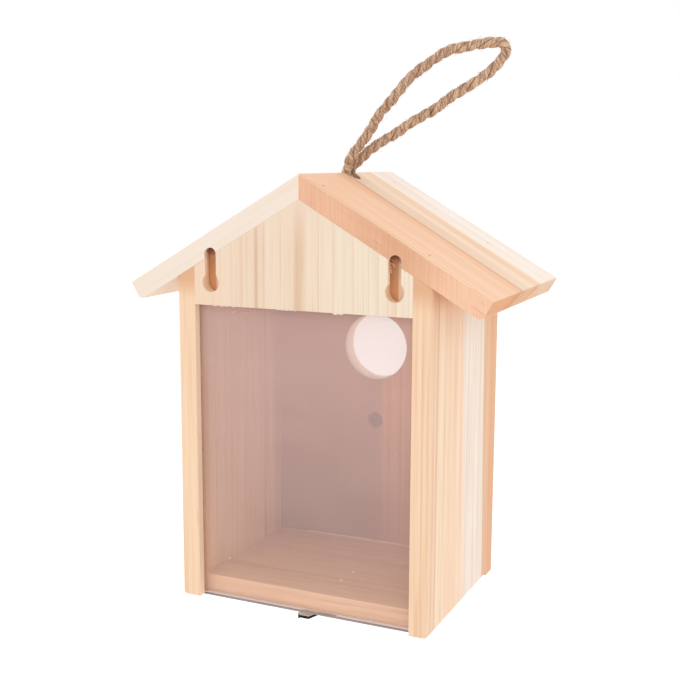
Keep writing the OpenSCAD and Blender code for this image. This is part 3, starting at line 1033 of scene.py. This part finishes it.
    def right_roof(self, look):
        """Right roof board: heartwood in front, a tan stripe and then sapwood."""
        stops = [
            (0.0, "#e8be9f"), (0.012, "#dcae8c"), (0.022, "#f5d1b2"), (0.036, "#eec39f"),
            (0.046, "#e5b490"), (0.056, "#f2cdae"), (0.075, "#ecc3a2"), (0.33, "#ecc3a2"),
            (0.37, "#e8bb97"), (0.415, "#e5b691"), (0.427, "#ce9d7c"), (0.438, "#dbb594"),
            (0.467, "#e6cab0"), (0.545, "#e8ceb4"), (0.607, "#ead3bb"), (0.646, "#eacdb0"),
            (0.724, "#e9c9aa"), (0.741, "#efe3d5"), (1.0, "#eae1d8"),
        ]
        self.roof_board(
            "right_roof_board", look, stops, "right slope", (0.16, 0.214), look.heart, "#c98a62",
            look.ring * 0.6, slant=-0.037, lines=0.7, saw=0.4,
            lean=(0, 1.7, -RIDGE_Z * math.cos(PITCH), 5 * MM, 60 * MM),
        )

    def roof_board(self, node, look, stops, *cut, **finish):
        """A roof board in bands from the window backwards, with its share of a keyhole."""
        bm = cad_copy(node)
        mark_bored(bm, inside_keyhole)
        round_edges(bm, look.worn_edge, lower_eave, 5)
        round_edges(bm, look.rim * 0.4, front_underside, 2)
        round_edges(bm, look.crisp_edge, outline_of_roof)
        round_edges(bm, look.rim * 0.6, rim_of_keyhole, 2)
        bands = ("through", 0.0, ROOF_HIGH.y, stops)
        board(node, bm, "roof_wood", *cut, bands=bands, bore=look.cut, deep=look.deep, **finish)


# Clear panel
class BIRDHOUSE_OT_clear_panel(Operator):
    """Makes the clear sliding sheet, with torn film at its top and dust on its face"""

    bl_idname = "birdhouse.clear_panel"
    bl_label = "Clear Panel"

    def execute(self, context):
        look = context.scene.birdhouse_panel
        bm = cad_copy("clear_panel")
        round_edges(bm, 0.3 * MM, long_edge(1 * MM), 2)
        piece("clear_sheet", bm, "panel", self.acrylic(look), ["clear_panel"])
        self.film(look)
        self.dust()
        return {"FINISHED"}

    @staticmethod
    def acrylic(look):
        """Clear sheet with a thin haze that thickens upwards, paler cut edges with a painted glint,
        and a painted shadow line along the bottom.
        """
        paint = Paint("clear_acrylic", IOR=1.49, Specular_IOR_Level=0.5)
        where = paint.coords()
        normal = paint.coords("Normal")
        height = paint.parts(where)[2]

        def above(base, low, high):
            """Rises from 0 to 1 between two heights over the base, in millimetres."""
            return paint.step(height, base + low * MM, base + high * MM)

        # Pale, more opaque cut edges with a painted glint of light piped through the sheet
        edge = paint.step(paint.dot(normal, (0, 0, 1)).math("ABSOLUTE"), 0.5, 0.95)
        rise = paint.step(height, FLOOR_LOW.z, GABLE_LOW.z, False)
        lip = above(FLOOR_LOW.z, 0.8, 1.6)
        cloud = paint.noise(where, 14, 3, 0.55)
        wiped = paint.noise(where, 60, 4, 0.6, (0.35, 1, 1))
        haze = rise * look.haze * 1.2 + look.haze * 0.9 + (cloud - 0.5) * 0.07
        haze = haze * (lip * 0.75 + 0.25)

        # Painted shade along the bottom: a dark line for the shadow under the floor's front edge,
        # and a dark band where the sheet's cut edge shows
        outside = paint.step(paint.dot(normal, (0, -1, 0)), 0.5, 0.95)
        line = above(FLOOR_LOW.z, 0.7, 1.0) - above(FLOOR_LOW.z, 1.5, 1.8)
        foot = line * outside * 0.4 + 1 - above(PANEL_LOW.z, 0.7, 1.0)
        paint.feed("Alpha", haze + edge * 0.35 + foot * 0.6)
        tint = paint.mix(paint.step(wiped, 0.4, 0.7) * 0.2, look.veil, "#caa19b")
        tint = paint.mix(edge * 0.8, tint, "#efeaea")
        paint.feed("Base Color", paint.mix(foot * 0.85, tint, "#8c7f82"))
        paint.feed("Roughness", wiped * 0.1 + 0.1)
        return paint.material

    @staticmethod
    def film(look):
        """Scraps of thin film that hang from under the gable board, torn along the bottom."""
        paint = Paint("film", Roughness=0.35, Specular_IOR_Level=0.5)
        crinkle = paint.noise(paint.coords(), 700, 3, 0.6)
        worn = paint.step(crinkle, 0.45, 0.75) * 0.5
        paint.feed("Base Color", paint.mix(worn, look.film, "#dcc4bd"))
        paint.bump(crinkle, 0.6, 0.0004)

        rng = random.Random(5)
        top = GABLE_LOW.z + 1.5 * MM
        face = PANEL_LOW.y - 0.09 * MM
        # Each scrap's left and right end, and how far it hangs down, in millimetres
        scraps = [
            (-60.6, -38.5, 0.8), (-36, -30, 0.4), (-18.5, -1.5, 0.8), (16.6, 24.4, 1.2),
            (30, 33, 0.3),
        ]
        bm = bmesh.new()
        for left, right, drop in scraps:
            count = max(6, round((right - left) * 1.2))
            width = (right - left) * MM
            grid = bmesh.ops.create_grid(bm, x_segments=count, y_segments=3, size=0.5)["verts"]
            low = GABLE_LOW.z - drop * MM
            for v in grid:
                share, height = v.co.x + 0.5, v.co.y + 0.5
                fade = min(1, 5 * share, 5 * (1 - share))
                frayed = rng.uniform(-0.28, 0.28) * MM * (height < 0.1)
                torn = low + (1 - fade) * drop * MM * 0.9 + frayed
                v.co = Vector((
                    left * MM + share * width, face - rng.uniform(0, 0.1) * MM,
                    torn + height * (top - torn),
                ))
            outward(bm)
        bmesh.ops.solidify(bm, geom=bm.faces[:], thickness=0.06 * MM)
        piece("film_scraps", outward(bm), "panel", paint.material)

    @staticmethod
    def dust():
        """Chips and dust that cling to the sheet."""
        rng = random.Random(8)
        # Each chip's place across and up, and its radius, in millimetres
        spots = [
            (-42.2, -16.1, 0.26), (-56, -44.4, 0.26), (-57.5, -56.4, 0.24), (29.8, -153.4, 0.34),
            (22.7, -159.1, 0.34), (-46.8, -157.6, 0.36),
        ]
        for _ in range(34):
            spots.append((rng.uniform(-60, 60), rng.uniform(-176, -20), rng.uniform(0.12, 0.24)))
        bm = bmesh.new()
        for x, z, size in spots:
            verts = bmesh.ops.create_icosphere(bm, subdivisions=1, radius=size * MM)["verts"]
            for v in verts:
                v.co *= rng.uniform(0.75, 1.2)
            move = Matrix.Translation((x * MM, PANEL_LOW.y, z * MM))
            flat = Matrix.Diagonal((rng.uniform(0.8, 1.5), 0.55, 1, 1))
            spin = Matrix.Rotation(rng.uniform(0, math.pi), 4, "Y")
            bmesh.ops.transform(bm, matrix=move @ spin @ flat, verts=verts)
        paint = Paint("dust", Roughness=0.9)
        grain = paint.noise(paint.coords(), 1500, 2)
        paint.feed("Base Color", paint.mix(grain, "#f6e6d8", "#e6cbb4"))
        piece("panel_dust", bm, "panel", paint.material, (), math.radians(50))


# Metal and perch
class BIRDHOUSE_OT_turn_button(Operator):
    """Makes the cranked steel strip that holds the panel up, and its screw"""

    bl_idname = "birdhouse.turn_button"
    bl_label = "Turn Button"

    def execute(self, context):
        look = context.scene.birdhouse_metal
        bm = cad_copy("turn_button")
        round_edges(bm, 0.25 * MM, long_edge(0.1 * MM), 2, True)
        # Painted highlight on the strip's upper side
        strip = steel("worn_steel_top_sheen", look.black, look.bare, 0.02, 0.5)
        piece("button_strip", bm, "button", strip, ["turn_button"])
        bm = cad_copy("turn_button_screw")
        x, y = (SCREW_LOW.x + SCREW_HIGH.x) / 2, (SCREW_LOW.y + SCREW_HIGH.y) / 2
        head = (SCREW_HIGH.x - SCREW_LOW.x) / 2

        def rim_of_head(middle, direction, length):
            on_rim = abs(math.hypot(middle.x - x, middle.y - y) - head) < CLOSE
            return on_rim and middle.z < SCREW_LOW.z + CLOSE

        round_edges(bm, 1.05 * MM, rim_of_head, 5)
        screw = steel("screw_steel", look.black, look.bare, 0.08, 0)
        piece("button_screw", bm, "house", screw, ["turn_button_screw"])
        return {"FINISHED"}


class BIRDHOUSE_OT_perch(Operator):
    """Turns the dowel perch, with a round outer end and a near black inner end that is partly
    staining and partly painted shade of its recess
    """

    bl_idname = "birdhouse.perch"
    bl_label = "Perch"

    def execute(self, context):
        radius = (PERCH_HIGH.x - PERCH_LOW.x) / 2
        near, far = PERCH_LOW.y, PERCH_HIGH.y
        chamfer = 0.6 * MM
        outline = [
            (0, near), (radius - chamfer, near),
            (radius - chamfer * 0.3, near + chamfer * 0.3), (radius, near + chamfer),
        ]
        for angle in (math.radians(9 * k) for k in range(11)):
            outline.append((radius * math.cos(angle), far - radius + radius * math.sin(angle)))
        bm = bmesh.new()
        verts = [bm.verts.new((PERCH_X + out, y, PERCH_Z)) for out, y in outline]
        edges = [bm.edges.new(pair) for pair in zip(verts, verts[1:])]
        bmesh.ops.spin(
            bm, geom=verts + edges, cent=(PERCH_X, 0, PERCH_Z), axis=(0, 1, 0),
            angle=2 * math.pi, steps=48, use_merge=True,
        )
        bmesh.ops.remove_doubles(bm, verts=bm.verts, dist=1e-6)
        wood = fir(
            "dowel_wood", "deep", (0.028, 0.105), "#e6c49c", "#b98252", 1.5 * MM,
            # Near black inner end: partly staining, partly painted shade of its recess in the wall
            stain=(near + 0.2 * MM, near + 1.4 * MM, "#2e1c13", True),
        )
        piece(
            "perch_dowel", outward(bm), "house", wood, ["perch"], math.radians(25)
        )
        return {"FINISHED"}


class BIRDHOUSE_OT_brads(Operator):
    """Gives the sunk brads their steel, dark brown to paint in the shade of their holes"""

    bl_idname = "birdhouse.brads"
    bl_label = "Brads"

    def execute(self, context):
        look = context.scene.birdhouse_metal
        # Dark brown: partly the steel, partly painted shade of the sunk holes
        metal = steel("brad_steel", "#3a2b23", look.bare, -0.12, 0)
        for name in ("roof_brads", "wall_brads"):
            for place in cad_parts[name].material_slots:
                place.material = metal
        return {"FINISHED"}


# Trimmings
class BIRDHOUSE_OT_trimmings(Operator):
    """Makes the shavings left in the keyholes and the line of glue inside"""

    bl_idname = "birdhouse.trimmings"
    bl_label = "Shavings and Glue"

    def execute(self, context):
        self.shavings()
        self.glue()
        return {"FINISHED"}

    @staticmethod
    def shavings():
        rng = random.Random(3)
        bm = bmesh.new()
        # Where each shaving starts, where it leans, how long and wide it is, in millimetres
        curls = [
            ((50.7, 0.5, 14.6), (0.9, 0.1, 0.3), 4.8, 0.9),
            ((50.7, 0.4, 12.6), (0.9, -0.1, 0.35), 3.8, 0.8),
            ((55.2, 0.9, 16.6), (-0.7, -0.1, -0.6), 3.6, 0.8),
            ((50.7, 0.5, 11.9), (0.9, 0.0, -0.1), 3.0, 0.7),
            ((-57.2, 0.3, 16.4), (0.7, -0.5, 0.1), 1.7, 0.35),
            ((-57.4, 0.3, 14.8), (0.6, -0.6, 0.3), 2.0, 0.4),
            ((-57.4, 0.4, 13.2), (0.8, -0.4, -0.2), 1.5, 0.3),
            ((-57.0, 0.3, 11.6), (0.6, -0.6, 0.2), 1.2, 0.25),
            ((-50.6, 0.3, 15.4), (-0.5, -0.7, -0.2), 1.2, 0.25),
        ]
        for start, lean, long, wide in curls:
            place, heading = Vector(start) * MM, Vector(lean).normalized()
            bend = Vector([rng.uniform(-1, 1) for _ in range(3)]).cross(heading).normalized()
            run = []
            for i in range(9):
                run.append(place.copy())
                place += heading * long * MM / 8
                heading = (heading + bend * 0.34).normalized()
            rings = []
            for i, f in enumerate(frames_along(run, Vector((0.3, 1, 0.2)))):
                taper = 1 - 0.7 * (i / 8) ** 2
                rings.append(at(*f, MM) @ Matrix.Diagonal((wide * 0.5 * taper, 0.07, 1, 1)))
            sweep(bm, rings, 4)
        wood = fir("shaving_fir", "up", (0.02, -0.1), "#fbdcc0", "#dda27a", 1.2 * MM)
        piece("keyhole_shavings", outward(bm), "house", wood)

    @staticmethod
    def glue():
        """A thin bead of dried glue where the floor meets the entrance wall."""
        rng = random.Random(21)
        run = []
        for i in range(90):
            x = FLOOR_LOW.x + 20 * MM + i * (FLOOR_HIGH.x - FLOOR_LOW.x - 21 * MM) / 89
            wobble = rng.uniform(-0.12, 0.12) * MM
            run.append(Vector((x, WALL_LOW.y - 0.15 * MM, FLOOR_HIGH.z + 0.1 * MM + wobble)))
        rings = []
        for i, f in enumerate(frames_along(run)):
            swell = 0.35 + 0.35 * min(1, i / 50) + rng.uniform(-0.12, 0.16)
            rings.append(at(*f, swell * MM))
        bm = bmesh.new()
        sweep(bm, rings, 8)
        paint = Paint("dried_glue", Roughness=0.35, Specular_IOR_Level=0.5)
        lumps = paint.noise(paint.coords(), 260, 3)
        paint.feed("Base Color", paint.mix(lumps, "#f4e6d2", "#d9bd98"))
        paint.bump(lumps, 0.4, 0.0004)
        piece(
            "glue_line", outward(bm), "house", paint.material, (),
            math.radians(50),
        )


# Sidebar and registration
class VIEW3D_PT_birdhouse(Panel):
    """Lists the makers and the settings"""

    bl_label = "Window Birdhouse"
    bl_category = "Birdhouse"
    bl_space_type = "VIEW_3D"
    bl_region_type = "UI"

    def draw(self, context):
        for maker in MAKERS:
            self.layout.operator(maker.bl_idname)
        for name, group in SETTINGS.items():
            box = self.layout.box()
            box.label(text=group.__doc__)
            for key in group.__annotations__:
                box.prop(getattr(context.scene, name), key)


MAKERS = [
    BIRDHOUSE_OT_stage, BIRDHOUSE_OT_rope, BIRDHOUSE_OT_boards, BIRDHOUSE_OT_clear_panel,
    BIRDHOUSE_OT_turn_button, BIRDHOUSE_OT_perch, BIRDHOUSE_OT_brads, BIRDHOUSE_OT_trimmings,
]
SETTINGS = {
    "birdhouse_boards": BirdhouseBoards,
    "birdhouse_rope": BirdhouseRope,
    "birdhouse_panel": BirdhousePanel,
    "birdhouse_metal": BirdhouseMetal,
    "birdhouse_stage": BirdhouseStage,
}
CLASSES = [*SETTINGS.values(), *MAKERS, VIEW3D_PT_birdhouse]


def register():
    for cls in CLASSES:
        bpy.utils.register_class(cls)
    for name, group in SETTINGS.items():
        setattr(bpy.types.Scene, name, PointerProperty(type=group))


def unregister():
    for name in SETTINGS:
        delattr(bpy.types.Scene, name)
    for cls in reversed(CLASSES):
        bpy.utils.unregister_class(cls)


def main():
    register()
    for maker in MAKERS:
        group, name = maker.bl_idname.split(".")
        getattr(getattr(bpy.ops, group), name)()


if __name__ == "__main__":
    main()
